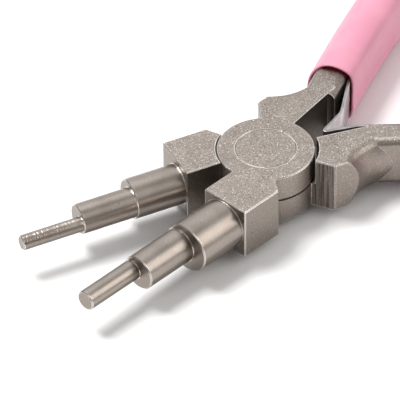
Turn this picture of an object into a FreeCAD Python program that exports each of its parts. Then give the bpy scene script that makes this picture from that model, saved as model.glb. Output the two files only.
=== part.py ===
import FreeCAD, Part
import math
import os
import Sketcher

from FreeCAD import Placement, Rotation, Vector

# Lap-jointed looping pliers with stepped round jaws, lying open on one side.
# Row frame: +Z up along the pivot, origin at the pivot on the joint's underside, jaws towards -X.
# Each half is drawn in its own frame: X runs from the pivot towards its jaw tip, Y from the closing line
# out to the side of its jaw, and Z from the middle of the joint to the outer face of its own disc.
# Its handle crosses the closing line, so the handle's Y is negative.

doc = FreeCAD.newDocument("RoundNosePliers")
sheet = doc.addObject("Spreadsheet::Sheet", "Sizes")

SIZES = [
    ("joint_thick", 10.9, "thickness of the joint, two discs deep"),
    ("layer_gap", 0.12, "running gap between the two discs"),
    ("disc_radius", 9.5, "radius of each joint disc"),
    ("jaw_seat_gap", 0.2, "gap between a disc and the other half's jaw block"),
    ("root_seat_gap", 0.8, "gap between a disc and the other half's handle root"),
    ("open_half", 9.6, "degrees that each half stands off the tool's axis when open"),
    ("closing_gap", 0.12, "what each half leaves short of the closing line"),
    ("block_front", 16.8, "pivot to the front face of the jaw block"),
    ("block_side", 10.6, "closing line to the outer side of the jaw block"),
    ("block_rear", 54.6, "degrees from the jaw to the block's rear face, which is radial"),
    ("first_end", 27.2, "pivot to the end of the thickest step"),
    ("second_end", 38.5, "pivot to the end of the middle step"),
    ("jaw_tip", 51.0, "pivot to the tip of the jaw"),
    ("near_thick", 5.0, "radius of the near jaw's thickest step"),
    ("near_middle", 3.5, "radius of the near jaw's middle step"),
    ("near_tip", 2.0, "radius of the near jaw's tip step"),
    ("far_thick", 4.0, "radius of the far jaw's thickest step"),
    ("far_middle", 3.0, "radius of the far jaw's middle step"),
    ("far_tip", 1.5, "radius of the far jaw's tip step"),
    ("step_inset", 0.04, "how much further off the closing line each thinner step runs"),
    ("step_bite", 0.8, "how far a step is sunk into what is behind it"),
    ("step_chamfer", 0.18, "chamfer round the end of a step"),
    ("edge_break", 0.18, "chamfer on the machined edges of the joint, block and root"),
    ("shoulder", 49.6, "degrees from the handle to the root's radial face"),
    ("root_side", 10.95, "closing line to the milled side of the handle root"),
    ("root_inner", 1.4, "closing line to the handle's inner face, at the root"),
    ("root_start", 9.6, "distance behind the pivot where root_inner is measured"),
    ("inner_slope", 8.0, "degrees that the inner face leans out"),
    ("waist_back", 20.4, "distance behind the pivot of the waist's middle"),
    ("root_stock", 0.4, "what is milled off the root's side"),
    ("waist_out", 17.4, "closing line to the centre of the waist's hollow"),
    ("waist_radius", 11.1, "radius of the waist's hollow"),
    ("waist_bulge", 2.9, "how far the waist's side stands proud of its top flat"),
    ("waist_corner", 2.0, "rounding between the waist's flats and its side"),
    ("waist_end", 23.2, "distance behind the pivot where the waist ends inside the tang"),
    ("mouth_back", 26.2, "distance behind the pivot of the grip's mouth"),
    ("mouth_out", 7.37, "closing line to the middle of the grip's mouth"),
    ("heading", 24.1, "degrees that the handle spreads where it enters the grip"),
    ("bow_front_radius", 370.0, "radius of the front stretch of the handle's bow"),
    ("bow_front_turn", 5.0, "degrees that the front stretch turns back"),
    ("bow_rear_radius", 118.0, "radius of the rear stretch of the handle's bow"),
    ("bow_rear_turn", 22.0, "degrees that the rear stretch turns back"),
    ("tang_lead", 6.9, "length of tang in front of the grip's mouth"),
    ("tang_flat", 1.6, "half the width of the tang's top flat"),
    ("tang_bulge", 1.7, "how far the tang's sides stand proud of its flats"),
    ("tang_corner", 1.6, "rounding between the tang's flats and its sides"),
    ("tang_short", 0.82, "share of the rear bow that the tang reaches"),
    ("grip_beside", 1.7, "how far the sleeve stands out beside the tang"),
    ("grip_above", 1.65, "how far the sleeve stands above the tang's flats"),
    ("grip_corner", 4.4, "rounding of the sleeve's inner side, which is flat"),
    ("grip_crown", 4.15, "rounding of the sleeve's top and bottom on the oval outer side"),
    ("grip_wall", 0.65, "wall of the sleeve"),
    ("grip_end", 3.2, "rounding of the sleeve's closed end"),
    ("grip_bottom", 3.0, "thickness of the sleeve's closed end"),
    ("rivet_head", 5.9, "radius of the rivet's flush heads"),
    ("rivet_head_thick", 2.4, "thickness of a head"),
    ("rivet_shaft", 3.2, "radius of the rivet's shaft"),
    ("rivet_clear", 0.05, "running clearance in the half that turns"),
    ("spring_thick", 0.55, "thickness of the spring strip"),
    ("spring_drop", 1.45, "how far the strip's edges lie inside the joint's two faces"),
    ("spring_nose", 12.9, "distance behind the pivot of the spring's nose"),
    ("spring_shift", 1.0, "how far the nose lies off the axis, towards the near handle"),
    ("spring_knee", 19.6, "distance behind the pivot of the knees in the legs"),
    ("spring_lean", 11.9, "degrees between its own half and a leg, from nose to knee"),
    ("spring_nose_radius", 0.6, "bend radius of the nose, on the strip's centre line"),
    ("spring_knee_radius", 4.0, "bend radius of a knee"),
    ("spring_reach", 26.0, "length of leg inside the sleeve"),
    ("spring_gap", 0.34, "air between the strip and the sleeve"),
]
for row, (name, value, note) in enumerate(SIZES, start=1):
    sheet.set(f"A{row}", name)
    sheet.set(f"B{row}", str(value))
    sheet.set(f"C{row}", note)
    sheet.setAlias(f"B{row}", name)
doc.recompute()


def size(name):
    return float(sheet.get(name))


def cell(name):
    return f"{sheet.Name}.{name}"


def worth(expression):
    """The number that an expression over the sheet comes to."""
    result = sheet.evalExpression(str(expression))
    return float(getattr(result, "Value", result))


# The handle's centre line in a half's own frame, as expressions over the sheet
HEADING = cell("heading")
MID_HEADING = f"({HEADING} - {cell('bow_front_turn')})"
END_HEADING = f"({MID_HEADING} - {cell('bow_rear_turn')})"


def bow_point(start, before, after, radius):
    """The end of an arc that turns the heading from before to after."""
    x = f"({start[0]} - {radius} * (sin({before}) - sin({after})))"
    y = f"({start[1]} - {radius} * (cos({after}) - cos({before})))"
    return x, y


MOUTH = (f"(-{cell('mouth_back')})", f"(-{cell('mouth_out')})")
LEAD = (
    f"({MOUTH[0]} + {cell('tang_lead')} * cos({HEADING}))",
    f"({MOUTH[1]} + {cell('tang_lead')} * sin({HEADING}))",
)
BOW_MIDDLE = bow_point(MOUTH, HEADING, MID_HEADING, cell("bow_front_radius"))
BOW_END = bow_point(BOW_MIDDLE, MID_HEADING, END_HEADING, cell("bow_rear_radius"))
TANG_HEADING = f"({MID_HEADING} - {cell('bow_rear_turn')} * {cell('tang_short')})"
TANG_END = bow_point(BOW_MIDDLE, MID_HEADING, TANG_HEADING, cell("bow_rear_radius"))
CAVITY_TURN = f"({cell('grip_bottom')} / {cell('bow_rear_radius')} * 180 / pi)"
CAVITY_HEADING = f"({END_HEADING} + {CAVITY_TURN})"
CAVITY_END = bow_point(BOW_MIDDLE, MID_HEADING, CAVITY_HEADING, cell("bow_rear_radius"))


# Drawing helpers
def new_body(label):
    body = doc.addObject("PartDesign::Body", label)
    body.Label = label
    return body


def origin_plane(body, role):
    for feature in body.Origin.OriginFeatures:
        if feature.Role == role:
            return feature
    raise RuntimeError(f"{body.Label} has no {role}")


def new_sketch(body, name, role="XY_Plane", along=None, place=None, turn=None):
    """A sketch on an origin plane, moved along its normal, or to a place in the plane and turned."""
    sketch = body.newObject("Sketcher::SketchObject", f"{body.Name}_{name}")
    sketch.AttachmentSupport = [(origin_plane(body, role), "")]
    sketch.MapMode = "FlatFace"
    if along:
        sketch.setExpression("AttachmentOffset.Base.z", along)
    if place:
        sketch.setExpression("AttachmentOffset.Base.z", place[0])
        sketch.setExpression("AttachmentOffset.Base.x", place[1])
    if turn:
        sketch.AttachmentOffset = Placement(Vector(), Rotation(Vector(0, 1, 0), worth(turn)))
        sketch.setExpression("AttachmentOffset.Rotation.Angle", turn)
    doc.recompute()
    return sketch


def pin_point(sketch, edge, end, point):
    """Hold an end of an edge at a pair of expressions."""
    for kind, expression in zip(("DistanceX", "DistanceY"), point):
        held = sketch.addConstraint(
            Sketcher.Constraint(kind, -1, 1, edge, end, worth(expression))
        )
        sketch.setExpression(f"Constraints[{held}]", str(expression))


def draw(sketch, corners, arcs=None, closed=True):
    """Lines and arcs through corners, all bound to the sheet.

    arcs gives, for the edge that leaves a corner, its radius as an expression and +1 where the edge
    turns left, or -1 where it turns right.
    """
    arcs = arcs or {}
    count = len(corners) if closed else len(corners) - 1
    places = [Vector(worth(x), worth(y), 0) for x, y in corners]
    starts, ends = [], []
    for index in range(count):
        a, b = places[index], places[(index + 1) % len(corners)]
        if index not in arcs:
            edge = sketch.addGeometry(Part.LineSegment(a, b))
            starts.append((edge, 1))
            ends.append((edge, 2))
            continue
        radius, side = arcs[index]
        chord = b - a
        height = math.sqrt(max(worth(radius) ** 2 - chord.Length**2 / 4, 0))
        left = Vector(-chord.y, chord.x, 0).normalize()
        centre = (a + b) / 2 + left * height * side
        circle = Part.Circle(centre, Vector(0, 0, 1), worth(radius))
        first, last = (a, b) if side > 0 else (b, a)
        edge = sketch.addGeometry(
            Part.ArcOfCircle(circle, circle.parameter(first), circle.parameter(last))
        )
        starts.append((edge, 1 if side > 0 else 2))
        ends.append((edge, 2 if side > 0 else 1))
        held = sketch.addConstraint(Sketcher.Constraint("Radius", edge, worth(radius)))
        sketch.setExpression(f"Constraints[{held}]", str(radius))
    for index in range(count):
        if closed or index + 1 < count:
            follower = starts[(index + 1) % count]
            sketch.addConstraint(Sketcher.Constraint("Coincident", *ends[index], *follower))
        pin_point(sketch, *starts[index], corners[index])
    if not closed:
        pin_point(sketch, *ends[-1], corners[-1])
    doc.recompute()


def draw_circle(sketch, centre, radius):
    circle = Part.Circle(Vector(worth(centre[0]), worth(centre[1]), 0), Vector(0, 0, 1), worth(radius))
    edge = sketch.addGeometry(circle)
    pin_point(sketch, edge, 3, centre)
    held = sketch.addConstraint(Sketcher.Constraint("Radius", edge, worth(radius)))
    sketch.setExpression(f"Constraints[{held}]", str(radius))
    doc.recompute()


def pad(body, name, sketch, length, midplane=False):
    feature = body.newObject("PartDesign::Pad", f"{body.Name}_{name}")
    feature.Profile = sketch
    feature.Midplane = midplane
    feature.setExpression("Length", length)
    doc.recompute()
    return feature


def pocket(body, name, sketch, length, reverse=False, midplane=False):
    """A cut that must take something away."""
    before = body.Shape.Volume
    feature = body.newObject("PartDesign::Pocket", f"{body.Name}_{name}")
    feature.Profile = sketch
    feature.Reversed = reverse
    feature.Midplane = midplane
    feature.setExpression("Length", length)
    doc.recompute()
    if not body.Shape.Volume < before:
        raise RuntimeError(f"{feature.Name} cut nothing")
    return feature


def barrel_side(flat, bulge, corner, half_height):
    """A side of three tangent arcs: a corner, a shallow barrel and a corner.

    Gives the barrel's radius, and where it meets the upper corner.
    """
    rise = f"({half_height} - {corner})"
    spread = f"({bulge} * {bulge} + {rise} * {rise} - {corner} * {corner})"
    radius = f"({spread} / (2 * ({bulge} - {corner})))"
    out = f"({flat} + {corner} * ({radius} - {bulge}) / ({radius} - {corner}))"
    up = f"({rise} * {radius} / ({radius} - {corner}))"
    return radius, out, up


def half_placement(near):
    """Where a half's own frame stands in the row frame, with the tool open."""
    half_open = size("open_half")
    lift = Vector(0, 0, size("joint_thick") / 2)
    if near:
        return Placement(lift, Rotation(Vector(0, 0, 1), 180 + half_open))
    turned_over = Rotation(Vector(0, 1, 0), 180)
    return Placement(lift, Rotation(Vector(0, 0, 1), -half_open) * turned_over)


# A forged half: handle root, waist and tang, then disc, jaw block, steps and rivet seat
THICK = cell("joint_thick")
HALF_THICK = f"({THICK} / 2)"
THROUGH = f"({THICK} * 2)"
TANG_HALF_WIDTH = f"({cell('tang_flat')} + {cell('tang_bulge')})"
GRIP_HALF_WIDTH = f"({TANG_HALF_WIDTH} + {cell('grip_beside')})"
GRIP_HALF_HEIGHT = f"({HALF_THICK} + {cell('grip_above')})"
WAIST_STATIONS = 7
BRIDGE_OVERLAP = 0.5
TOUCH = 1e-3
ROOT_EDGE = 2.0


def inner_face(back):
    """Closing line to the handle's inner face, at a distance behind the pivot."""
    return f"({cell('root_inner')} + ({back} - {cell('root_start')}) * tan({cell('inner_slope')}))"


def waist_face(back):
    """Closing line to the edge of the waist's top flat, at a distance behind the pivot."""
    reach = f"({back} - {cell('waist_back')})"
    radius = cell("waist_radius")
    return f"({cell('waist_out')} - sqrt({radius} * {radius} - {reach} * {reach}))"


def waist_section(body, index, back, outer):
    """One section of the root and waist: flat inside, top and bottom, and a barrel outside."""
    sketch = new_sketch(body, f"WaistSection{index}", "YZ_Plane", along=f"-{back}")
    corner = cell("waist_corner")
    radius, out, up = barrel_side(outer, cell("waist_bulge"), corner, HALF_THICK)
    corners = [
        (f"-{inner_face(back)}", HALF_THICK), (f"-{outer}", HALF_THICK),
        (f"-{out}", up), (f"-{out}", f"-{up}"),
        (f"-{outer}", f"-{HALF_THICK}"), (f"-{inner_face(back)}", f"-{HALF_THICK}"),
    ]
    draw(sketch, corners, {1: (corner, 1), 2: (radius, 1), 3: (corner, 1)})
    return sketch


def add_waist(body):
    """The forging behind the joint, lofted along the handle and then milled flat outside."""
    inside_joint = f"({cell('root_start')} / 2)"
    forged_side = f"({cell('root_side')} + {cell('root_stock')})"
    sections = [waist_section(body, 0, inside_joint, forged_side)]
    hollow = cell("waist_radius")
    depth = f"({cell('waist_out')} - {cell('root_side')})"
    flare = f"({cell('waist_back')} - sqrt({hollow} * {hollow} - {depth} * {depth}))"
    for index in range(WAIST_STATIONS):
        share = index / (WAIST_STATIONS - 1)
        back = f"({flare} + ({cell('waist_end')} - {flare}) * {share:.4f})"
        sections.append(waist_section(body, index + 1, back, waist_face(back)))
    straight = body.newObject("PartDesign::AdditiveLoft", f"{body.Name}_Root")
    straight.Profile = sections[0]
    straight.Sections = [sections[1]]
    straight.Ruled = True
    doc.recompute()
    waist = body.newObject("PartDesign::AdditiveLoft", f"{body.Name}_Waist")
    waist.Profile = sections[1]
    waist.Sections = sections[2:]
    doc.recompute()

    side = new_sketch(body, "SideCut")
    far_back, out = f"(-{cell('mouth_back')})", f"(-{cell('root_side')})"
    beyond = f"({out} - 2 * {cell('waist_bulge')})"
    draw(side, [("0", out), (far_back, out), (far_back, beyond), ("0", beyond)])
    pocket(body, "MilledSide", side, THROUGH, midplane=True)

    wedge = new_sketch(body, "ShoulderCut")
    reach = f"({cell('root_side')} * 2)"
    tip = (f"(-{reach} * cos({cell('shoulder')}))", f"(-{reach} * sin({cell('shoulder')}))")
    draw(wedge, [("0", "0"), tip, ("0", tip[1])])
    pocket(body, "Shoulder", wedge, THROUGH, midplane=True)

    seat = new_sketch(body, "RootSeatCircle")
    draw_circle(seat, ("0", "0"), f"({cell('disc_radius')} + {cell('root_seat_gap')})")
    pocket(body, "RootSeat", seat, THROUGH, midplane=True)


def add_tang(body):
    """The round-sided bar that goes into the sleeve."""
    path = new_sketch(body, "TangPath")
    bows = {1: (cell("bow_front_radius"), -1), 2: (cell("bow_rear_radius"), -1)}
    draw(path, [LEAD, MOUTH, BOW_MIDDLE, TANG_END], bows, closed=False)
    section = new_sketch(body, "TangSection", "YZ_Plane", place=LEAD, turn=HEADING)
    flat, corner = cell("tang_flat"), cell("tang_corner")
    radius, out, up = barrel_side(flat, cell("tang_bulge"), corner, HALF_THICK)
    corners = [
        (flat, HALF_THICK), (f"-{flat}", HALF_THICK), (f"-{out}", up), (f"-{out}", f"-{up}"),
        (f"-{flat}", f"-{HALF_THICK}"), (flat, f"-{HALF_THICK}"), (out, f"-{up}"), (out, up),
    ]
    arcs = {index: (corner, 1) for index in (1, 3, 5, 7)}
    draw(section, corners, {**arcs, 2: (radius, 1), 6: (radius, 1)})
    tang = body.newObject("PartDesign::AdditivePipe", f"{body.Name}_Tang")
    tang.Profile = section
    tang.Spine = (path, ["Edge1", "Edge2", "Edge3"])
    doc.recompute()


def add_disc_and_block(body):
    disc = new_sketch(body, "DiscCircle", along=f"({cell('layer_gap')} / 2)")
    draw_circle(disc, ("0", "0"), cell("disc_radius"))
    pad(body, "Disc", disc, f"({HALF_THICK} - {cell('layer_gap')} / 2)")

    # own layer between the disc and the handle root
    bridge = new_sketch(body, "BridgeOutline", along=f"({cell('layer_gap')} / 2)")
    reach = f"({cell('disc_radius')} + {cell('root_seat_gap')} + {BRIDGE_OVERLAP})"
    lean = f"{reach} * cos({cell('shoulder')})"
    drop = f"{reach} * sin({cell('shoulder')})"
    inner = f"-{inner_face(reach)}"
    draw(bridge, [("0", "0"), (f"(-{reach})", inner), (f"(-{lean})", f"(-{drop})")])
    pad(body, "Bridge", bridge, f"({HALF_THICK} - {cell('layer_gap')} / 2)")

    block = new_sketch(body, "BlockOutline")
    gap, front, side = cell("closing_gap"), cell("block_front"), cell("block_side")
    rear = f"({side} / tan({cell('block_rear')}))"
    near_pivot = f"({gap} / tan({cell('block_rear')}))"
    draw(block, [(near_pivot, gap), (front, gap), (front, side), (rear, side)])
    pad(body, "Block", block, THICK, midplane=True)


def add_seat(body):
    """The hollow in the other layer, in which the other half's disc turns."""
    seat = new_sketch(body, "JawSeatCircle", along=f"({cell('layer_gap')} / 2)")
    draw_circle(seat, ("0", "0"), f"({cell('disc_radius')} + {cell('jaw_seat_gap')})")
    pocket(body, "JawSeat", seat, THICK)


def edges_where(shape, wanted):
    return [f"Edge{n}" for n, edge in enumerate(shape.Edges, start=1) if wanted(edge)]


def is_step_end(edge, where, radius):
    """A full circle round the jaw's length, at a distance from the pivot."""
    curve = edge.Curve
    if not isinstance(curve, Part.Circle):
        return False
    along = abs(abs(curve.Axis.x) - 1) < 1e-6
    return along and abs(curve.Center.x - where) < 1e-4 and abs(curve.Radius - radius) < 1e-4


def add_steps(body, radii):
    """Three cylinders, off centre, so that all of them run beside the closing line."""
    starts = [cell("block_front"), cell("first_end"), cell("second_end")]
    ends = [cell("first_end"), cell("second_end"), cell("jaw_tip")]
    bite = cell("step_bite")
    for index, (start, end, radius) in enumerate(zip(starts, ends, radii)):
        circle = new_sketch(body, f"Step{index + 1}Circle", "YZ_Plane", along=f"({start} - {bite})")
        inset = f"({cell('closing_gap')} + {index} * {cell('step_inset')})"
        draw_circle(circle, (f"({inset} + {radius})", "0"), radius)
        step = pad(body, f"Step{index + 1}", circle, f"({end} - {start} + {bite})")
        rims = edges_where(body.Shape, lambda edge: is_step_end(edge, worth(end), worth(radius)))
        if len(rims) != 1:
            raise RuntimeError(f"{step.Name}: {len(rims)} rims found")
        chamfer = body.newObject("PartDesign::Chamfer", f"{body.Name}_Step{index + 1}Chamfer")
        chamfer.Base = (step, rims)
        chamfer.setExpression("Size", cell("step_chamfer"))
        doc.recompute()


def add_rivet_seat(body, clearance):
    hole = new_sketch(body, "RivetHoleCircle")
    draw_circle(hole, ("0", "0"), f"({cell('rivet_shaft')} + {clearance})")
    pocket(body, "RivetHole", hole, THROUGH, midplane=True)
    head = new_sketch(body, "RivetHeadCircle", along=HALF_THICK)
    draw_circle(head, ("0", "0"), f"({cell('rivet_head')} + {clearance})")
    pocket(body, "RivetHeadSeat", head, f"({cell('rivet_head_thick')} + {clearance})")


def is_machined_edge(edge, face_up):
    """An outer edge of the block, the disc's rim, or the root's shoulder and side on the upper face."""
    half, front, side = worth(HALF_THICK), size("block_front"), size("block_side")
    root_side, middle = size("root_side"), edge.valueAt(sum(edge.ParameterRange) / 2)
    on_flat, upright = abs(abs(middle.z) - half) < TOUCH, abs(middle.z) < TOUCH
    if isinstance(edge.Curve, Part.Circle):
        is_rim = abs(edge.Curve.Radius - size("disc_radius")) < TOUCH and edge.Length > half
        return is_rim and abs(middle.z - half) < TOUCH
    if middle.x > 0:
        at_corner = abs(middle.y - side) < TOUCH and upright
        straight = isinstance(edge.Curve, Part.Line) and middle.y > 0 and middle.x < front + TOUCH
        return straight and (on_flat or at_corner)
    if abs(middle.y + root_side) < TOUCH and edge.Length > ROOT_EDGE:
        return upright and isinstance(edge.Curve, Part.Line) or abs(middle.z - face_up * half) < TOUCH
    shoulder = math.radians(size("shoulder"))
    off_shoulder = middle.x * math.sin(shoulder) - middle.y * math.cos(shoulder)
    beyond_seat = Vector(middle.x, middle.y, 0).Length > size("disc_radius") + size("root_seat_gap")
    on_face_up = abs(middle.z - face_up * half) < TOUCH
    return on_face_up and beyond_seat and abs(off_shoulder) < TOUCH


def break_edges(body, face_up):
    """A small chamfer on the machined edges, so that none is left sharp."""
    machined = body.Tip
    edges = edges_where(machined.Shape, lambda edge: is_machined_edge(edge, face_up))
    chamfer = body.newObject("PartDesign::Chamfer", f"{body.Name}_EdgeBreak")
    chamfer.Base = (machined, edges)
    chamfer.setExpression("Size", cell("edge_break"))
    doc.recompute()
    print(body.Label, "machined edges broken:", len(edges))


def make_half(label, near, radii, clearance):
    body = new_body(label)
    add_waist(body)
    add_tang(body)
    add_disc_and_block(body)
    add_steps(body, radii)
    add_seat(body)
    add_rivet_seat(body, clearance)
    break_edges(body, 1 if near else -1)
    body.Placement = half_placement(near)
    return body


def sleeve_section(body, name, wall):
    """Flat towards the other handle, oval away from it, and set in from the outside by a wall."""
    sketch = new_sketch(body, name, "YZ_Plane", place=MOUTH, turn=HEADING)
    outside = (GRIP_HALF_WIDTH, GRIP_HALF_HEIGHT, cell("grip_corner"), cell("grip_crown"))
    wide, high, corner, crown = (f"({length} - {wall})" for length in outside)
    radius, out, up = barrel_side("0", wide, crown, high)
    x, y = f"({wide} - {corner})", f"({high} - {corner})"
    corners = [
        (x, high), ("0", high), (f"-{out}", up), (f"-{out}", f"-{up}"),
        ("0", f"-{high}"), (x, f"-{high}"), (wide, f"-{y}"), (wide, y),
    ]
    arcs = {1: (crown, 1), 2: (radius, 1), 3: (crown, 1), 5: (corner, 1), 7: (corner, 1)}
    draw(sketch, corners, arcs)
    return sketch


def make_grip(label, near):
    """A sleeve with one closed round end, drawn in its half's own frame."""
    body = new_body(label)
    bows = {0: (cell("bow_front_radius"), -1), 1: (cell("bow_rear_radius"), -1)}
    path = new_sketch(body, "GripPath")
    draw(path, [MOUTH, BOW_MIDDLE, BOW_END], bows, closed=False)
    sleeve = body.newObject("PartDesign::AdditivePipe", f"{body.Name}_Sleeve")
    sleeve.Profile = sleeve_section(body, "GripSection", "0")
    sleeve.Spine = (path, ["Edge1", "Edge2"])
    doc.recompute()

    end = Vector(worth(BOW_END[0]), worth(BOW_END[1]), 0)
    heading = math.radians(worth(END_HEADING))
    back = Vector(-math.cos(heading), -math.sin(heading), 0)
    names = edges_where(
        body.Shape, lambda edge: abs((edge.CenterOfMass - end).dot(back)) < 1e-3
    )
    rounding = body.newObject("PartDesign::Fillet", f"{body.Name}_ClosedEnd")
    rounding.Base = (sleeve, names)
    rounding.setExpression("Radius", cell("grip_end"))
    doc.recompute()

    hollow_path = new_sketch(body, "HollowPath")
    draw(hollow_path, [MOUTH, BOW_MIDDLE, CAVITY_END], bows, closed=False)
    cut = body.newObject("PartDesign::SubtractivePipe", f"{body.Name}_Hollow")
    cut.Profile = sleeve_section(body, "HollowSection", cell("grip_wall"))
    cut.Spine = (hollow_path, ["Edge1", "Edge2"])
    doc.recompute()
    body.Placement = half_placement(near)
    return body


def make_rivet(label):
    """A shaft with two flush heads, turned in one piece."""
    body = new_body(label)
    profile = new_sketch(body, "RivetProfile", "XZ_Plane")
    head, shaft, deep = cell("rivet_head"), cell("rivet_shaft"), cell("rivet_head_thick")
    waist = f"({HALF_THICK} - {deep})"
    corners = [
        ("0", f"-{HALF_THICK}"), (head, f"-{HALF_THICK}"), (head, f"-{waist}"), (shaft, f"-{waist}"),
        (shaft, waist), (head, waist), (head, HALF_THICK), ("0", HALF_THICK),
    ]
    draw(profile, corners)
    turned = body.newObject("PartDesign::Revolution", f"{body.Name}_Turned")
    turned.Profile = profile
    turned.ReferenceAxis = (profile, ["V_Axis"])
    turned.Angle = 360
    doc.recompute()
    body.Placement = Placement(Vector(0, 0, size("joint_thick") / 2), Rotation())
    return body


# The leaf spring: one strip on edge, bent to a V, its legs lying along the tangs inside the sleeves
def rounded_route(points, radii):
    """A wire through points, with a tangent arc in place of each inner corner."""
    edges, start = [], points[0]
    for index in range(1, len(points) - 1):
        corner, radius = points[index], radii[index - 1]
        towards = (points[index - 1] - corner).normalize()
        away = (points[index + 1] - corner).normalize()
        half_angle = towards.getAngle(away) / 2
        setback = radius / math.tan(half_angle)
        first, last = corner + towards * setback, corner + away * setback
        bisector = (towards + away).normalize()
        middle = corner + bisector * (radius / math.sin(half_angle) - radius)
        edges.append(Part.LineSegment(start, first).toShape())
        edges.append(Part.Arc(first, middle, last).toShape())
        start = last
    edges.append(Part.LineSegment(start, points[-1]).toShape())
    return Part.Wire(edges)


def leg_places(side):
    """The knee, the mouth and the end of one leg, in the row frame. side is +1 towards +Y."""
    near = side > 0
    nose = Vector(size("spring_nose"), -size("spring_shift"), 0)
    run = size("spring_knee") - size("spring_nose")
    splay = math.radians(size("open_half") + size("spring_lean"))
    knee = nose + Vector(run, side * run * math.tan(splay), 0)
    inward = worth(GRIP_HALF_WIDTH) - size("grip_wall") - size("spring_thick") / 2 - size("spring_gap")
    placement = half_placement(near)

    def beside_tang(along):
        radius = size("bow_front_radius")
        turned = math.radians(worth(HEADING)) - along / radius
        begin = math.radians(worth(HEADING))
        x = worth(MOUTH[0]) - radius * (math.sin(begin) - math.sin(turned))
        y = worth(MOUTH[1]) - radius * (math.cos(turned) - math.cos(begin))
        offset = Vector(-math.sin(turned), math.cos(turned), 0) * inward
        place = placement.multVec(Vector(x, y, 0) + offset)
        return Vector(place.x, place.y, 0)

    reach = size("spring_reach")
    return [knee, beside_tang(0.5), beside_tang(reach / 2), beside_tang(reach)]


def make_spring(label):
    nose = Vector(size("spring_nose"), -size("spring_shift"), 0)
    far_leg, near_leg = leg_places(-1), leg_places(1)
    knee = size("spring_knee_radius")
    gentle = size("bow_front_radius")
    bends = [gentle, knee, knee, size("spring_nose_radius"), knee, knee, gentle]
    route = rounded_route(far_leg[::-1] + [nose] + near_leg, bends)
    start, ahead = route.Vertexes[0].Point, route.Edges[0].tangentAt(0)
    across = Vector(-ahead.y, ahead.x, 0) * (size("spring_thick") / 2)
    up = Vector(0, 0, worth(HALF_THICK) - size("spring_drop"))
    corners = [start + across + up, start - across + up, start - across - up, start + across - up]
    section = Part.makePolygon(corners + corners[:1])
    strip = doc.addObject("Part::Feature", label)
    strip.Label = label
    strip.Shape = route.makePipeShell([section], True, False)
    strip.Placement = Placement(Vector(0, 0, size("joint_thick") / 2), Rotation())
    print("spring strip", round(route.Length, 2), "mm long, volume", round(strip.Shape.Volume, 2))
    return strip


NEAR_RADII = [cell("near_thick"), cell("near_middle"), cell("near_tip")]
FAR_RADII = [cell("far_thick"), cell("far_middle"), cell("far_tip")]
parts = [
    make_half("half_near", True, NEAR_RADII, cell("rivet_clear")),
    make_half("half_far", False, FAR_RADII, "0"),
    make_rivet("rivet"),
    make_spring("leaf_spring"),
    make_grip("grip_near", True),
    make_grip("grip_far", False),
]

doc.recompute()
for thing in doc.Objects:
    if "Invalid" in thing.State or "Error" in thing.State:
        raise RuntimeError(f"{thing.Name} failed: {thing.State}")
os.makedirs("parts", exist_ok=True)
for part in parts:
    if part.Shape.isNull() or not part.Shape.isValid():
        raise RuntimeError(f"{part.Label} has no valid shape")
    part.Shape.exportStep(f"parts/{part.Label}.step")
    box = part.Shape.BoundBox
    print(part.Label, "solids", len(part.Shape.Solids), "volume", round(part.Shape.Volume, 1),
          "box", [round(v, 2) for v in (box.XMin, box.YMin, box.ZMin, box.XMax, box.YMax, box.ZMax)])
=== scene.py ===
# %% [markdown]
# # Looping pliers with stepped round jaws
# The tool lies open on a pale bench: two forged halves with a satin nickel plate, a flush rivet, a
# V of spring strip between the handles and two soft pink sleeves. The working model is loaded
# first. Every piece made here is placed from it, and nothing in it is moved. The box round it is
# kept, and the floor is laid just under it.

# %% Load the working model
import math

import bpy
from mathutils import Matrix, Vector


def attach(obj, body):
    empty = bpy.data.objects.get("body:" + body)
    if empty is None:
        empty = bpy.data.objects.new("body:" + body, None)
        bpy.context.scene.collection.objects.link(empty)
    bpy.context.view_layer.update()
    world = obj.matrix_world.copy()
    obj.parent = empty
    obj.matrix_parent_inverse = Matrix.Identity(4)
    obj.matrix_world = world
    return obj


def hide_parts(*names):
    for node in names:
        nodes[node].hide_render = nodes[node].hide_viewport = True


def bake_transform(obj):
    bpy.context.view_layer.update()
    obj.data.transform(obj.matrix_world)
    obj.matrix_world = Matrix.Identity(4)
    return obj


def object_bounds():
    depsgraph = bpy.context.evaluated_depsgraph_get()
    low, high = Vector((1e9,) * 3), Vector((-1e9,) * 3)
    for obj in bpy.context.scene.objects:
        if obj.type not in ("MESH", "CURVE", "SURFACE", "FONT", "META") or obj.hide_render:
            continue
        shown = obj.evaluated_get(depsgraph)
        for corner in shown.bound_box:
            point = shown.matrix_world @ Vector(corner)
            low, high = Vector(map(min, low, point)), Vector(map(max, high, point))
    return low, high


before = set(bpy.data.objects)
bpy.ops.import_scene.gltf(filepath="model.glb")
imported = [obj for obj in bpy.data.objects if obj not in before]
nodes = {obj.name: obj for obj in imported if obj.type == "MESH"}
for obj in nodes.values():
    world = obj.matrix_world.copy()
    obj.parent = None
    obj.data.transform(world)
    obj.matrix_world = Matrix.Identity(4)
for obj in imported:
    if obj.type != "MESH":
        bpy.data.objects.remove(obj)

cad_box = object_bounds()
MM = 0.001
print("pieces in the frame:", sorted(nodes))

# %% [markdown]
# ## The camera
# A long lens from well back keeps the jaws' edges almost parallel. The camera is aimed at a point
# in front of the joint, level with its upper face, and then rolled by about half a degree. Building
# its matrix from three directions is the surest way to aim it: no constraint is left behind.

# %% Aim the camera
JOINT_TOP = 10.9
AIM = Vector((-19.28, -5.03, JOINT_TOP)) * MM
AZIMUTH = math.radians(-35.86)
ELEVATION = math.radians(39.54)
ROLL = math.radians(-0.58)
DISTANCE = 0.862
LENS = 410.8


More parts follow.
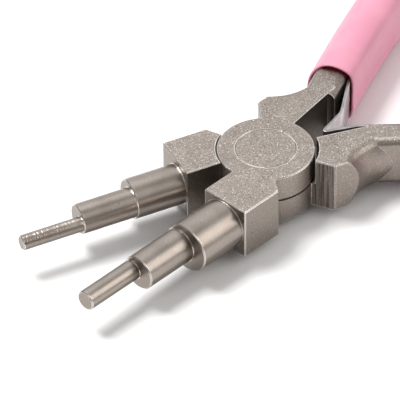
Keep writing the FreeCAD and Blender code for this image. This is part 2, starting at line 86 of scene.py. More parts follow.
def add_camera():
    level = math.cos(ELEVATION)
    forward = Vector((-math.sin(AZIMUTH) * level, math.cos(AZIMUTH) * level, -math.sin(ELEVATION)))
    right = forward.cross(Vector((0, 0, 1))).normalized()
    up = right.cross(forward)
    rolled_right = right * math.cos(ROLL) + up * math.sin(ROLL)
    rolled_up = up * math.cos(ROLL) - right * math.sin(ROLL)
    camera = bpy.data.objects.new("camera", bpy.data.cameras.new("camera"))
    camera.data.lens = LENS
    camera.data.clip_start = 10 * MM
    turn = Matrix((rolled_right, rolled_up, -forward)).transposed().to_4x4()
    camera.matrix_world = Matrix.Translation(AIM - forward * DISTANCE) @ turn
    bpy.context.scene.collection.objects.link(camera)
    bpy.context.scene.camera = camera
    return camera


print("camera at", [round(v, 3) for v in add_camera().matrix_world.translation])

# %% [markdown]
# ## Helpers for node materials
# A finish is a small network of nodes. Most of these helpers add one node and hand back its output,
# so that a material reads from top to bottom like a recipe: noise, then a mask made from it, then a
# colour. Every pattern reads Object coordinates, which are metres in the same frame for all pieces,
# so a grain of 0.2 mm is the same size on the jaws and on the handles.

# %% Node helpers
def add_node(tree, kind, inputs=None, **settings):
    made = tree.nodes.new(kind)
    for name, value in settings.items():
        setattr(made, name, value)
    for name, value in (inputs or {}).items():
        if isinstance(value, bpy.types.NodeSocket):
            tree.links.new(value, made.inputs[name])
        else:
            made.inputs[name].default_value = value
    return made


def maths(tree, operation, first, second=0.0):
    made = add_node(tree, "ShaderNodeMath", {0: first, 1: second}, operation=operation)
    return made.outputs[0]


def times(tree, first, second):
    return maths(tree, "MULTIPLY", first, second)


def between(tree, value, low, high):
    """0 below low, 1 above high and a smooth step from one to the other."""
    inputs = {"Value": value, "From Min": low, "From Max": high}
    made = add_node(tree, "ShaderNodeMapRange", inputs, interpolation_type="SMOOTHSTEP")
    return made.outputs[0]


def mixed(tree, share, first, second):
    """A colour that goes from first to second as share goes from 0 to 1."""
    inputs = {0: share, 6: first, 7: second}
    return add_node(tree, "ShaderNodeMix", inputs, data_type="RGBA").outputs[2]


def noise(tree, where, grain_mm, detail=2.0, roughness=0.5):
    """Soft random values whose grains are about grain_mm wide."""
    inputs = {"Vector": where, "Scale": 1 / (grain_mm * MM), "Detail": detail, "Roughness": roughness}
    return add_node(tree, "ShaderNodeTexNoise", inputs).outputs["Fac"]


def turned(tree, angle=0.0, stretch=(1, 1, 1)):
    """Object coordinates, turned about Z and stretched."""
    place = add_node(tree, "ShaderNodeTexCoord").outputs["Object"]
    inputs = {"Vector": place, "Rotation": (0, 0, angle), "Scale": stretch}
    return add_node(tree, "ShaderNodeMapping", inputs).outputs["Vector"]


def split(tree, vector):
    return add_node(tree, "ShaderNodeSeparateXYZ", {0: vector}).outputs


def facing(tree):
    """The x, y and z of the way the surface faces."""
    return split(tree, add_node(tree, "ShaderNodeNewGeometry").outputs["Normal"])


def from_pivot(tree, where):
    """Distance from the rivet's axis, which stands where x and y are 0."""
    x, y = split(tree, where)[:2]
    squares = maths(tree, "ADD", times(tree, x, x), times(tree, y, y))
    return maths(tree, "SQRT", squares)


def bumped(tree, height, strength, depth_mm, before=None):
    inputs = {"Height": height, "Strength": strength, "Distance": depth_mm * MM}
    if before is not None:
        inputs["Normal"] = before
    return add_node(tree, "ShaderNodeBump", inputs).outputs["Normal"]


def new_finish(name):
    material = bpy.data.materials.new(name)
    material.use_nodes = True
    tree = material.node_tree
    return material, tree, tree.nodes["Principled BSDF"]


def feed(tree, shader, **sockets):
    """Link or set the shader's own sockets; an underscore stands for a space."""
    for name, value in sockets.items():
        socket = shader.inputs[name.replace("_", " ")]
        if isinstance(value, bpy.types.NodeSocket):
            tree.links.new(value, socket)
        else:
            socket.default_value = value


def dress(piece, material):
    """Give a piece this one finish in place of any other."""
    piece.data.materials.clear()
    piece.data.materials.append(material)


# %% [markdown]
# ## Edge wear and edge highlights
# Plating on a forged tool wears bright on its sharp edges first. The Bevel node gives the direction
# that the surface would face if its edges were rounded. Where that differs from the true direction,
# an edge is near. Broken up with noise, the difference is a mask for wear that needs no texture and
# no extra faces. The finishes below also use it to paint a highlight along the edges.

# %% Edge mask
BEVEL_SAMPLES = 8
PATCHINESS = 0.02
EDGE_MASK_FULL = 0.045


def edge_mask(tree, radius_mm, where):
    inputs = {"Radius": radius_mm * MM}
    softened = add_node(tree, "ShaderNodeBevel", inputs, samples=BEVEL_SAMPLES).outputs[0]
    true = add_node(tree, "ShaderNodeNewGeometry").outputs["Normal"]
    dot = add_node(tree, "ShaderNodeVectorMath", {0: softened, 1: true}, operation="DOT_PRODUCT")
    turned_away = maths(tree, "SUBTRACT", 1.0, dot.outputs["Value"])
    patchy = times(tree, noise(tree, where, grain_mm=1.1, detail=3.0), PATCHINESS)
    return between(tree, turned_away, patchy, EDGE_MASK_FULL)


# %% [markdown]
# ## Satin nickel on forged steel
# The flats are sandblasted, then nickel plated: a warm grey metal with a fine grain. A few of its
# grains get a painted highlight, the glints. The steps of the jaws are turned, so they are smoother
# and carry faint rings round them. The face of each handle root that looks at the joint is milled,
# with upright lines. A few dark pits finish it, and a bright colour along the sharp edges that is
# partly edge wear and partly a painted highlight. Faces that turn sideways and down are darkened with
# painted shade, and a dark band is drawn along the seam where the two discs meet. One function makes
# both halves' finish. Each half stands turned by half the opening, so the pattern is turned with it:
# x then runs along the jaw and a mask on x picks out the steps.

# %% Steel colours and sizes
OPEN_HALF = math.radians(9.6)
BLOCK_FRONT = 16.8
TIP_START = 38.5
DISC_RADIUS = 9.5
ROOT_START = 4.5
JOINT_MIDDLE = JOINT_TOP / 2
SEAM_BAND = (0.34, 0.16)
NICKEL_LIGHT = (0.365, 0.322, 0.288, 1)
NICKEL_DARK = (0.17, 0.14, 0.118, 1)
# Bright colour for edge wear and for painted highlights: edge highlights and glints.
NICKEL_WORN_AND_HIGHLIGHT = (0.95, 0.91, 0.86, 1)
PIT_BROWN = (0.05, 0.035, 0.03, 1)


def add_pits(tree, where, spacing_mm, share, size):
    """Small round specks: one in some of the cells of a random grid."""
    inputs = {"Vector": where, "Scale": 1 / (spacing_mm * MM)}
    cells = add_node(tree, "ShaderNodeTexVoronoi", inputs)
    chosen = maths(tree, "LESS_THAN", split(tree, cells.outputs["Color"])[0], share)
    near_middle = between(tree, cells.outputs["Distance"], size, size * 0.5)
    return times(tree, chosen, near_middle)


def off_disc(tree, where):
    """1 outside the joint's discs, 0 on them."""
    inner, outer = (DISC_RADIUS + 0.1) * MM, (DISC_RADIUS + 0.4) * MM
    return between(tree, from_pivot(tree, where), inner, outer)


def blasted_grain(tree, where):
    """The dull grit of the blasting, and the few grains that catch the light."""
    grit = noise(tree, where, grain_mm=0.24, detail=2.0, roughness=0.7)
    sparkle = between(tree, noise(tree, where, grain_mm=0.22, detail=1.0), 0.62, 0.72)
    return grit, sparkle


def add_milled_lines(tree, where, x):
    """Upright cutter marks on the side faces of a handle's root."""
    stretched = add_node(tree, "ShaderNodeMapping", {"Vector": where, "Scale": (1, 1, 0.03)})
    streaks = noise(tree, stretched.outputs[0], grain_mm=0.45, detail=2.0)
    lines = between(tree, streaks, 0.46, 0.58)
    way = facing(tree)
    side = between(tree, maths(tree, "ABSOLUTE", way[2]), 0.3, 0.1)
    towards_joint = between(tree, way[0], -0.5, -0.75)
    on_root = between(tree, x, ROOT_START * MM, (ROOT_START + 0.5) * MM)
    behind = times(tree, on_root, off_disc(tree, where))
    place = times(tree, times(tree, side, towards_joint), behind)
    return times(tree, times(tree, lines, place), 0.65)


def add_seam_band(tree, where):
    """A dark band along the seam where the two discs meet."""
    z = split(tree, where)[2]
    by_disc = maths(tree, "SUBTRACT", 1.0, off_disc(tree, where))
    height = maths(tree, "ABSOLUTE", maths(tree, "SUBTRACT", z, JOINT_MIDDLE * MM))
    faint, full = SEAM_BAND
    return times(tree, by_disc, between(tree, height, faint * MM, full * MM))


def make_steel(name, turn, tip_rings):
    """The plated finish of one half; turn lays the pattern along its jaw."""
    material, tree, shader = new_finish(name)
    along = turned(tree, turn)
    x = split(tree, along)[0]
    on_steps = between(tree, x, -BLOCK_FRONT * MM, -(BLOCK_FRONT + 0.2) * MM)
    on_tip = between(tree, x, -TIP_START * MM, -(TIP_START + 0.3) * MM)

    clouds = noise(tree, along, grain_mm=5.0, detail=3.0)
    grit, sparkle = blasted_grain(tree, along)
    facing_up = facing(tree)[2]
    side = between(tree, maths(tree, "ABSOLUTE", facing_up), 0.8, 0.3)
    smoother = maths(tree, "MAXIMUM", on_steps, times(tree, side, 0.7))
    calm = maths(tree, "SUBTRACT", 1.0, times(tree, smoother, 0.8))
    glints = times(tree, sparkle, times(tree, calm, 0.75))
    pits = add_pits(tree, along, spacing_mm=2.6, share=0.3, size=0.07)
    worn_and_highlit_edge = edge_mask(tree, 0.3, along)

    speckle = times(tree, between(tree, grit, 0.56, 0.38), calm)
    shade = times(tree, between(tree, clouds, 0.6, 0.35), 0.2)
    # Painted shade: faces that turn sideways and down are darkened, standing in for the shadow on
    # them.
    painted_underside_shade = times(tree, between(tree, facing_up, 0.6, -0.5), 0.75)
    shade = maths(tree, "MAXIMUM", shade, painted_underside_shade)
    tint = mixed(tree, times(tree, speckle, 0.75), NICKEL_LIGHT, NICKEL_DARK)
    tint = mixed(tree, shade, tint, NICKEL_DARK)
    # Painted highlight: a few grains are lit up as glints.
    tint = mixed(tree, glints, tint, NICKEL_WORN_AND_HIGHLIGHT)
    tint = mixed(tree, add_milled_lines(tree, along, x), tint, PIT_BROWN)
    # Bright edges: partly edge wear, partly a painted highlight.
    tint = mixed(tree, times(tree, worn_and_highlit_edge, 0.9), tint, NICKEL_WORN_AND_HIGHLIGHT)
    tint = mixed(tree, pits, tint, PIT_BROWN)
    tint = mixed(tree, add_seam_band(tree, along), tint, PIT_BROWN)

    round_jaw = add_node(tree, "ShaderNodeMapping", {"Vector": along, "Scale": (1, 0.004, 0.004)})
    rings = noise(tree, round_jaw.outputs[0], grain_mm=0.3, detail=1.0)
    deep_rings = times(tree, rings, times(tree, on_tip, tip_rings))
    blasted = bumped(tree, times(tree, grit, calm), strength=0.7, depth_mm=0.10)
    step_rings = times(tree, rings, on_steps)
    turned_rings = bumped(tree, step_rings, strength=0.35, depth_mm=0.02, before=blasted)
    finish = bumped(tree, deep_rings, strength=1.0, depth_mm=0.09, before=turned_rings)

    base_gloss = maths(tree, "ADD", times(tree, clouds, 0.10), 0.33)
    base_gloss = maths(tree, "SUBTRACT", base_gloss, times(tree, on_steps, 0.04))
    gloss = maths(tree, "SUBTRACT", base_gloss, times(tree, worn_and_highlit_edge, 0.12))
    feed(tree, shader, Base_Color=tint, Metallic=1.0, Roughness=gloss, Normal=finish)
    return material


near_steel = make_steel("near_satin_nickel", -OPEN_HALF, tip_rings=0.3)
far_steel = make_steel("far_satin_nickel", OPEN_HALF, tip_rings=1.0)
for node_name, finish in (("half_near", near_steel), ("half_far", far_steel)):
    dress(nodes[node_name], finish)
    print(node_name, "wears", finish.name, "with", len(finish.node_tree.nodes), "nodes")

# %% [markdown]
# ## The rivet
# The rivet is ground flush with the joint, so all that shows of it is a thin ring round its head
# and the fine circular scratches that the grinding left. Both depend only on the distance from the
# pivot, which is worked out from x and y.

# %% Rivet finish
RIVET_HEAD = 5.9
RING_LINE = (0.18, 0.08)


def make_rivet_steel():
    material, tree, shader = new_finish("ground_rivet")
    place = turned(tree)
    radius = from_pivot(tree, place)
    grit, sparkle = blasted_grain(tree, place)
    scratch_place = add_node(tree, "ShaderNodeCombineXYZ", {0: radius}).outputs[0]
    scratches = noise(tree, scratch_place, grain_mm=0.16, detail=1.0)
    inner, outer = [(RIVET_HEAD - inset) * MM for inset in RING_LINE]
    rim = between(tree, radius, inner, outer)
    patchy = between(tree, noise(tree, place, grain_mm=4.0), 0.42, 0.58)

    speckle = times(tree, between(tree, grit, 0.56, 0.38), 0.75)
    tint = mixed(tree, speckle, NICKEL_LIGHT, NICKEL_DARK)
    # Painted highlight: glints on a few grains of the rivet.
    tint = mixed(tree, times(tree, sparkle, 0.75), tint, NICKEL_WORN_AND_HIGHLIGHT)
    ring = mixed(tree, patchy, PIT_BROWN, NICKEL_WORN_AND_HIGHLIGHT)
    tint = mixed(tree, times(tree, rim, 0.7), tint, ring)
    pits = add_pits(tree, place, spacing_mm=1.8, share=0.2, size=0.08)
    tint = mixed(tree, pits, tint, PIT_BROWN)
    blasted = bumped(tree, grit, strength=0.7, depth_mm=0.10)
    ground = bumped(tree, scratches, strength=0.3, depth_mm=0.02, before=blasted)
    gloss = maths(tree, "ADD", times(tree, grit, 0.12), 0.30)
    feed(tree, shader, Base_Color=tint, Metallic=1.0, Roughness=gloss, Normal=ground)
    return material


dress(nodes["rivet"], make_rivet_steel())
print("rivet finish made")

# %% [markdown]
# ## The handles' bow
# The sleeves and the spring's legs follow the same line: it leaves the mouth of a sleeve at an
# angle, and bends back in two arcs until the handle runs almost straight. Working the line out
# once, as a place and a heading for any distance along it, keeps all three together.

# %% Handle line
MOUTH_BACK, MOUTH_OUT = 26.2, 7.37
HEADING = math.radians(24.1)
FRONT_RADIUS, FRONT_TURN = 370.0, math.radians(5.0)
REAR_RADIUS, REAR_TURN = 118.0, math.radians(22.0)
FRONT_LENGTH = FRONT_RADIUS * FRONT_TURN
HANDLE_LENGTH = FRONT_LENGTH + REAR_RADIUS * REAR_TURN


def arc_step(place, heading, radius, turn):
    """Follow an arc that turns right, and give the new place and heading."""
    after = heading - turn
    shift = Vector((math.sin(heading) - math.sin(after), math.cos(after) - math.cos(heading)))
    return place + shift * radius, after


def handle_line(distance):
    """Place in millimetres and heading at a distance behind the near sleeve's mouth."""
    heading = HEADING + OPEN_HALF
    cos, sin = math.cos(OPEN_HALF), math.sin(OPEN_HALF)
    place = Vector((MOUTH_BACK * cos - MOUTH_OUT * sin, MOUTH_BACK * sin + MOUTH_OUT * cos))
    front = min(distance, FRONT_LENGTH)
    place, heading = arc_step(place, heading, FRONT_RADIUS, front / FRONT_RADIUS)
    return arc_step(place, heading, REAR_RADIUS, (distance - front) / REAR_RADIUS)


print("the sleeve runs", round(HANDLE_LENGTH, 1), "mm from its mouth")

# %% [markdown]
# ## Edit-mode helpers
# Operators act on whatever is selected, so one helper leaves a single object selected, and another
# picks its points by a test on their place. Turning is written as a helper too, because with no
# window the rotate operator turns the other way round.

# %% Edit-mode helpers
def activate(piece):
    bpy.ops.object.select_all(action="DESELECT")
    piece.select_set(True)
    bpy.context.view_layer.objects.active = piece


def turn_selected(angle, centre):
    bpy.ops.transform.rotate(value=-angle, orient_axis="Z", center_override=centre)


def select_points(piece, wanted):
    """Select, in edit mode, the points that a test accepts."""
    bpy.ops.mesh.select_all(action="DESELECT")
    bpy.ops.object.mode_set(mode="OBJECT")
    for point in piece.data.vertices:
        point.select = bool(wanted(point.co))
    bpy.ops.object.mode_set(mode="EDIT")
    bpy.ops.mesh.select_mode(type="VERT")


def use_modifier(piece, kind, **settings):
    activate(piece)
    modifier = piece.modifiers.new(kind.lower(), kind)
    for name, value in settings.items():
        setattr(modifier, name, value)
    bpy.ops.object.modifier_apply(modifier=modifier.name)


# %% [markdown]
# ## The sleeves
# Each sleeve is dipped vinyl, drawn on over the tang: oval outside, flatter inside with a shallow
# flute, a thin lip at its mouth and a closed round end. It could be lofted from curves, but one
# ring of points that is extruded along the handle gives even faces and a lip that is easy to shape.
# The ring starts as a circle. It is squeezed to an oval, flattened on its inner side and pressed in
# at the middle of that side. The wall made here is thinner than the working model's, so that the
# tang and the spring inside it lie clear of it. The model's own wall still says where the spring
# lies.

# %% Sleeve section
SLEEVE_HALF_WIDTH = 5.0
SLEEVE_HALF_HEIGHT = 7.1
MODEL_WALL = 0.65
SLEEVE_WALL = 0.45
SLEEVE_END = 3.2
RING_POINTS = 96
INNER_STRETCH = 1.38
FLATTENING = ((3.6, 0.75), (4.2, 0.6), (4.6, 0.5))
FLUTE_DEPTH = 0.16
FLUTE_STEPS = (2.9, 2.4, 1.9, 1.3)


def sleeve_ring():
    """A ring across the handle at the origin; its inner side looks towards -Y.

    Each step of the flattening presses what lies beyond a distance back to a share of it.
    """
    bpy.ops.object.select_all(action="DESELECT")
    across = (0, math.pi / 2, 0)
    bpy.ops.mesh.primitive_circle_add(vertices=RING_POINTS, radius=MM, rotation=across)
    ring = bpy.context.object
    bpy.ops.object.transform_apply(location=False, rotation=True, scale=False)
    bpy.ops.object.mode_set(mode="EDIT")
    bpy.ops.mesh.select_all(action="SELECT")
    oval = (1, SLEEVE_HALF_WIDTH, SLEEVE_HALF_HEIGHT)
    bpy.ops.transform.resize(value=oval, center_override=(0, 0, 0))
    select_points(ring, lambda place: place.y < 0)
    bpy.ops.transform.resize(value=(1, INNER_STRETCH, 1), center_override=(0, 0, 0))
    for inward, keep in FLATTENING:
        select_points(ring, lambda place: place.y < -inward * MM)
        bpy.ops.transform.resize(value=(1, keep, 1), center_override=(0, -inward * MM, 0))
    for half_height in FLUTE_STEPS:
        select_points(ring, lambda place: place.y < 0 and abs(place.z) < half_height * MM)
        bpy.ops.transform.translate(value=(0, FLUTE_DEPTH / len(FLUTE_STEPS) * MM, 0))
    bpy.ops.object.mode_set(mode="OBJECT")
    return ring


# %% [markdown]
# The ring is carried along the handle line. Each extrusion moves the new ring forward by the chord
# and turns it by the change of heading, about its own middle. Besides that it is resized: a little
# bead at the lip, a slow growth behind it, and a dome of shrinking rings at the closed end.

# %% Sleeve stations
LIP = [(0.0, 0.965), (0.25, 0.985), (0.6, 0.992), (0.95, 0.992), (1.3, 0.986), (2.0, 0.985)]
LIP_LOWER = 0.97
GROWTH_LENGTH = 30.0
BODY_STEPS = 34
DOME_STEPS = 8
END_INSET = 0.6
LIP_ROUNDING = 0.2
SHARP_ANGLE = 0.9


def sleeve_stations():
    """(distance, width, height) of every ring, as shares of the full section."""
    stations = [(distance, share, share * LIP_LOWER) for distance, share in LIP]
    start, low = LIP[-1]
    stop = HANDLE_LENGTH - SLEEVE_END
    for step in range(1, BODY_STEPS + 1):
        distance = start + (stop - start) * step / BODY_STEPS
        share = min((distance - start) / GROWTH_LENGTH, 1)
        lower = LIP_LOWER + (1 - LIP_LOWER) * share
        width = low + (1 - low) * share
        stations.append((distance, width, width * lower))
    for step in range(1, DOME_STEPS + 1):
        angle = math.pi / 2 * step / DOME_STEPS
        inset = SLEEVE_END * (1 - math.cos(angle))
        width = 1 - inset / SLEEVE_HALF_WIDTH
        height = 1 - inset / SLEEVE_HALF_HEIGHT
        stations.append((stop + SLEEVE_END * math.sin(angle), width, height))
    return stations


def make_sleeve(name):
    sleeve = sleeve_ring()
    sleeve.name = name
    stations = sleeve_stations()
    bpy.ops.object.mode_set(mode="EDIT")
    bpy.ops.mesh.select_all(action="SELECT")
    place, heading = handle_line(stations[0][0])
    middle = Vector((place.x, place.y, JOINT_MIDDLE)) * MM
    bpy.ops.transform.translate(value=middle)
    turn_selected(heading, middle)
    width = height = 1.0
    for index, (distance, new_width, new_height) in enumerate(stations):
        place, new_heading = handle_line(distance)
        new_middle = Vector((place.x, place.y, JOINT_MIDDLE)) * MM
        if index:
            move = {"value": new_middle - middle}
            bpy.ops.mesh.extrude_region_move(TRANSFORM_OT_translate=move)
            turn_selected(new_heading - heading, new_middle)
        level = (new_width / width, new_width / width, new_height / height)
        bpy.ops.transform.resize(value=level, center_override=new_middle)
        middle, heading, width, height = new_middle, new_heading, new_width, new_height
    bpy.ops.mesh.edge_face_add()
    bpy.ops.mesh.inset(thickness=END_INSET * MM)
    bpy.ops.mesh.select_all(action="SELECT")
    bpy.ops.mesh.remove_doubles(threshold=0.001 * MM)
    bpy.ops.mesh.normals_make_consistent(inside=False)
    bpy.ops.object.mode_set(mode="OBJECT")
    use_modifier(sleeve, "SOLIDIFY", thickness=SLEEVE_WALL * MM, offset=-1, use_even_offset=True)
    soften = {"segments": 4, "limit_method": "ANGLE", "angle_limit": SHARP_ANGLE}
    use_modifier(sleeve, "BEVEL", width=LIP_ROUNDING * MM, **soften)
    bpy.ops.object.shade_smooth()
    return sleeve


near_sleeve = make_sleeve("near_sleeve")
sleeve_size = [round(v / MM, 1) for v in near_sleeve.dimensions]
print("sleeve:", len(near_sleeve.data.polygons), "faces, box", sleeve_size)

# %% [markdown]
# The far sleeve is the same shape on the other handle. The mesh is copied and mirrored across
# the tool's axis, and since a mirror turns a shape inside out, its normals are turned round again.

# %% Far sleeve
def mirrored_copy(piece, name):
    copy = piece.copy()
    copy.data = piece.data.copy()
    copy.name = name
    bpy.context.scene.collection.objects.link(copy)
    activate(copy)
    bpy.ops.object.mode_set(mode="EDIT")
    bpy.ops.mesh.select_all(action="SELECT")
    bpy.ops.transform.resize(value=(1, -1, 1), center_override=(0, 0, 0))
    bpy.ops.mesh.flip_normals()
    bpy.ops.object.mode_set(mode="OBJECT")
    return copy


far_sleeve = mirrored_copy(near_sleeve, "far_sleeve")
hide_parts("grip_near")
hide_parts("grip_far")
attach(near_sleeve, "near_side")
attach(far_sleeve, "far_side")

# %% [markdown]
# ## Pink vinyl
# Dipped vinyl is soft, slightly translucent and satin glossy. Light goes a little way in, so shade
# turns a warmer, deeper pink instead of grey. A faint orange-peel bump breaks the gloss, the tint
# drifts a little along the handle, and a few specks of dust stick to it. The lip and other sharp
# edges are painted paler: partly wear from rubbing, partly a painted highlight.

# %% Vinyl finish
PINK = (0.70, 0.305, 0.40, 1)
PINK_DEEP = (0.64, 0.27, 0.365, 1)
PINK_RUBBED_AND_HIGHLIT = (0.88, 0.50, 0.60, 1)
SPECK = (0.42, 0.12, 0.18, 1)
GLOW_DEPTH = 1.2
GLOW_SPREAD = (1.0, 0.35, 0.35)


def make_vinyl():
    material, tree, shader = new_finish("pink_vinyl")
    place = turned(tree)
    clouds = noise(tree, place, grain_mm=9.0, detail=2.0)
    peel = noise(tree, place, grain_mm=0.9, detail=2.0)
    fine = noise(tree, place, grain_mm=0.22, detail=2.0)
    tint = mixed(tree, between(tree, clouds, 0.35, 0.7), PINK_DEEP, PINK)
    tint = mixed(tree, times(tree, between(tree, fine, 0.4, 0.7), 0.08), tint, PINK_DEEP)
    rubbed_and_highlit_lip = times(tree, edge_mask(tree, 0.4, place), 0.5)
    # Paler lip and edges: partly wear from rubbing, partly a painted highlight.
    tint = mixed(tree, rubbed_and_highlit_lip, tint, PINK_RUBBED_AND_HIGHLIT)
    dust = add_pits(tree, place, spacing_mm=5.0, share=0.3, size=0.035)
    tint = mixed(tree, dust, tint, SPECK)
    orange_peel = bumped(tree, peel, strength=0.15, depth_mm=0.04)
    skin = bumped(tree, fine, strength=0.12, depth_mm=0.02, before=orange_peel)
    gloss = maths(tree, "ADD", times(tree, peel, 0.14), 0.38)
    feed(tree, shader, Base_Color=tint, Roughness=gloss, Normal=skin)
    feed(tree, shader, Subsurface_Weight=0.3, Subsurface_Scale=GLOW_DEPTH * MM)
    feed(tree, shader, Subsurface_Radius=GLOW_SPREAD)
    return material


vinyl = make_vinyl()
for sleeve in (near_sleeve, far_sleeve):
    dress(sleeve, vinyl)
print("vinyl on", near_sleeve.name, "and", far_sleeve.name)

# %% [markdown]
# ## The leaf spring
# A V of hard strip on edge pushes the handles apart. From its nose between the handle roots each
# leg runs out, bends at a knee and lies along the inner wall of a sleeve. It is made from one
# upright edge that is extruded along the strip's middle line, then given its thickness and slightly
# rounded edges.

# %% Spring route
STRIP = 0.55
STRIP_LOW, STRIP_HIGH = 1.45, 9.45
NOSE = Vector((12.9, -1.0))
KNEE_BACK = 19.6
SPLAY = OPEN_HALF + math.radians(11.9)
NOSE_BEND, KNEE_BEND = 0.35, 4.0
STRIP_GAP = 0.42
STRIP_INSIDE = 26.0
MOUTH_INSET = 0.5
INSIDE_STEPS = 6
BEND_STEPS = 8


def in_sleeve(distance, side):
    """Middle of the strip beside the tang; side is +1 on the near handle."""
    place, heading = handle_line(distance)
    inward = SLEEVE_HALF_WIDTH - MODEL_WALL - STRIP / 2 - STRIP_GAP
    place = place + Vector((math.sin(heading), -math.cos(heading))) * inward
    return Vector((place.x, place.y * side))


def rounded(points, bends):
    """The points' line with each inner corner swapped for an arc."""
    line = [points[0]]
    for before, corner, after, bend in zip(points, points[1:], points[2:], bends):
        first, second = (before - corner).normalized(), (after - corner).normalized()
        half = first.angle(second) / 2
        middle = corner + (first + second).normalized() * bend / math.sin(half)
        start = corner + first * bend / math.tan(half) - middle
        stop = corner + second * bend / math.tan(half) - middle
        for step in range(BEND_STEPS + 1):
            line.append(middle + start.slerp(stop, step / BEND_STEPS).normalized() * bend)
    return line


def spring_route():
    knee_out = (KNEE_BACK - NOSE.x) * math.tan(SPLAY)
    step = STRIP_INSIDE / INSIDE_STEPS
    mouth, inside, knee = {}, {}, {}
    for side in (-1, 1):
        knee[side] = Vector((KNEE_BACK, NOSE.y + side * knee_out))
        mouth[side] = in_sleeve(MOUTH_INSET, side)
        inside[side] = [in_sleeve(step * count, side) for count in range(1, INSIDE_STEPS + 1)]
    corners = [inside[-1][0], mouth[-1], knee[-1], NOSE, knee[1], mouth[1], inside[1][0]]
    bent = rounded(corners, [KNEE_BEND, KNEE_BEND, NOSE_BEND, KNEE_BEND, KNEE_BEND])
    return inside[-1][::-1] + bent[1:] + inside[1]


route = spring_route()
print("spring route of", len(route), "points")

# %% [markdown]
# The strip starts as a plane that is cut down to one upright edge. That edge is moved to the end of
# the route inside the far sleeve, and each extrusion carries it to the next point. Solidify gives the
# thickness on both sides of the middle line, and a narrow bevel catches the light along the edges as
# the real strip's does.

# %% Spring strip
STRIP_ROUNDING = 0.07
SMOOTH_BELOW = math.radians(35)


def make_spring():
    bpy.ops.object.select_all(action="DESELECT")
    height = STRIP_HIGH - STRIP_LOW
    bpy.ops.mesh.primitive_plane_add(size=height * MM, rotation=(math.pi / 2, 0, 0))
    strip = bpy.context.object
    strip.name = "spring_strip"
    bpy.ops.object.transform_apply(location=False, rotation=True, scale=False)
    bpy.ops.object.mode_set(mode="EDIT")
    select_points(strip, lambda place: place.x > 0)
    bpy.ops.mesh.delete(type="VERT")
    bpy.ops.mesh.select_all(action="SELECT")
    middle = (STRIP_LOW + STRIP_HIGH) / 2
    start = Vector((route[0].x + height / 2, route[0].y, middle)) * MM
    bpy.ops.transform.translate(value=start)
    for here, there in zip(route, route[1:]):
        move = {"value": Vector((there.x - here.x, there.y - here.y, 0)) * MM}
        bpy.ops.mesh.extrude_region_move(TRANSFORM_OT_translate=move)
    bpy.ops.mesh.select_all(action="SELECT")
    bpy.ops.mesh.remove_doubles(threshold=0.005 * MM)
    bpy.ops.mesh.normals_make_consistent(inside=False)
    bpy.ops.object.mode_set(mode="OBJECT")
    use_modifier(strip, "SOLIDIFY", thickness=STRIP * MM, offset=0, use_even_offset=True)
    soften = {"segments": 2, "limit_method": "ANGLE", "angle_limit": SHARP_ANGLE}
    use_modifier(strip, "BEVEL", width=STRIP_ROUNDING * MM, **soften)
    bpy.ops.object.shade_smooth_by_angle(angle=SMOOTH_BELOW)
    return strip


spring = make_spring()
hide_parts("leaf_spring")
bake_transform(spring)
spring_size = [round(v / MM, 1) for v in spring.dimensions]
print("spring:", len(spring.data.polygons), "faces, box", spring_size)

# %% [markdown]
# ## Spring steel
# Hard rolled strip is brighter and cooler than the plated halves, with a faint lengthwise grain from
# rolling. Its sheared edges are painted bright, partly as edge wear and partly as a painted
# highlight.
# The grain runs along the strip, so the noise is stretched far more in the plane of the joint than up
# and down.

# %% Spring finish
STRIP_LIGHT = (0.50, 0.48, 0.485, 1)
STRIP_DARK = (0.33, 0.31, 0.315, 1)


def make_strip_steel():
    material, tree, shader = new_finish("rolled_strip")
    place = turned(tree)
    lengthwise = turned(tree, stretch=(0.03, 0.03, 1))
    rolled = noise(tree, lengthwise, grain_mm=0.25, detail=3.0)
    clouds = noise(tree, place, grain_mm=3.0, detail=3.0)
    worn_and_highlit_edge = edge_mask(tree, 0.12, place)
    tint = mixed(tree, between(tree, clouds, 0.35, 0.7), STRIP_DARK, STRIP_LIGHT)
    # Bright sheared edges: partly edge wear, partly a painted highlight.
    tint = mixed(tree, worn_and_highlit_edge, tint, NICKEL_WORN_AND_HIGHLIGHT)
    pits = add_pits(tree, place, spacing_mm=1.6, share=0.3, size=0.08)
    tint = mixed(tree, pits, tint, PIT_BROWN)
    gloss = maths(tree, "ADD", times(tree, rolled, 0.2), 0.22)
    feed(tree, shader, Base_Color=tint, Metallic=1.0, Roughness=gloss)
    feed(tree, shader, Normal=bumped(tree, rolled, strength=0.3, depth_mm=0.02))
    return material


dress(spring, make_strip_steel())
print("spring finish made")

# %% [markdown]
# ## Bench and light
# The floor is a plain pale sheet just under the tool. A large soft light above and behind gives the
# sheen on the upper faces, and a weak one fills from the front. Metal shows what stands round it,
# so the room matters too. It is grey overhead and dim and warm near the horizon, which puts the
# brown bands on the turned steps. Two soft bright panels on its sky, one behind the tool and one
# beside it, are what the bright faces mirror. All of this is fixed in the room, wherever the camera
# stands.

# %% Floor
FLOOR_SIZE = 4.0
FLOOR_GAP = 0.1
FLOOR_WHITE = (0.88, 0.88, 0.88, 1)


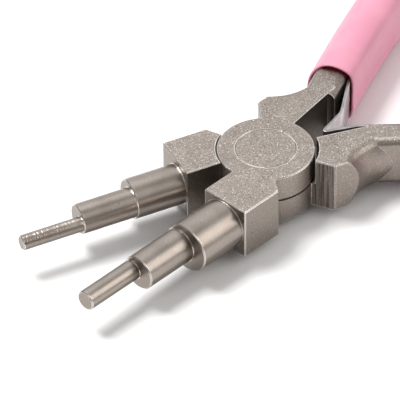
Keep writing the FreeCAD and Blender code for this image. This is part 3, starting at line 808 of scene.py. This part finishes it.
def make_floor():
    bpy.ops.object.select_all(action="DESELECT")
    lowest = cad_box[0][2]
    bpy.ops.mesh.primitive_plane_add(size=FLOOR_SIZE, location=(0, 0, lowest - FLOOR_GAP * MM))
    floor = bpy.context.object
    floor.name = "floor"
    material, tree, shader = new_finish("pale_floor")
    feed(tree, shader, Base_Color=FLOOR_WHITE, Roughness=0.9)
    floor.data.materials.append(material)
    return floor


print("floor at", round(make_floor().location.z / MM, 2), "mm")

# %% Room and lights
ROOM_LOW = (0.07, 0.055, 0.045, 1)
ROOM_HIGH = (0.34, 0.34, 0.34, 1)
BACK_PANEL = (0.95, 0.95, 0.95, 1)
SIDE_PANEL = (2.7, 2.62, 2.52, 1)
HORIZON, OVERHEAD = 0.05, 0.6


def add_panel(tree, sky, way, towards, edge, middle, colour):
    """A soft bright patch on the sky, from its edge to its middle, given as cosines."""
    facing = add_node(tree, "ShaderNodeVectorMath", {0: way, 1: towards}, operation="DOT_PRODUCT")
    return mixed(tree, between(tree, facing.outputs["Value"], edge, middle), sky, colour)


def light_room():
    world = bpy.data.worlds.new("room")
    world.use_nodes = True
    tree = world.node_tree
    way = add_node(tree, "ShaderNodeTexCoord").outputs["Generated"]
    sky = mixed(tree, between(tree, split(tree, way)[2], HORIZON, OVERHEAD), ROOM_LOW, ROOM_HIGH)
    sky = add_panel(tree, sky, way, (0.45, 0.62, 0.64), 0.62, 0.94, BACK_PANEL)
    sky = add_panel(tree, sky, way, (0.64, -0.55, 0.54), 0.88, 0.97, SIDE_PANEL)
    tree.links.new(sky, tree.nodes["Background"].inputs["Color"])
    bpy.context.scene.world = world


def add_softbox(name, place, wide, power):
    """A square light in metres and watts, aimed at the pivot's foot."""
    light = bpy.data.objects.new(name, bpy.data.lights.new(name, "AREA"))
    light.data.shape = "SQUARE"
    light.data.size = wide
    light.data.energy = power
    light.location = place
    light.rotation_euler = (-Vector(place)).to_track_quat("-Z", "Y").to_euler()
    bpy.context.scene.collection.objects.link(light)


light_room()
add_softbox("overhead", (-0.15, 0.35, 0.75), wide=0.36, power=7.8)
add_softbox("front", (-0.7, -0.35, 0.6), wide=0.5, power=0.9)
bpy.context.scene.view_settings.view_transform = "Standard"
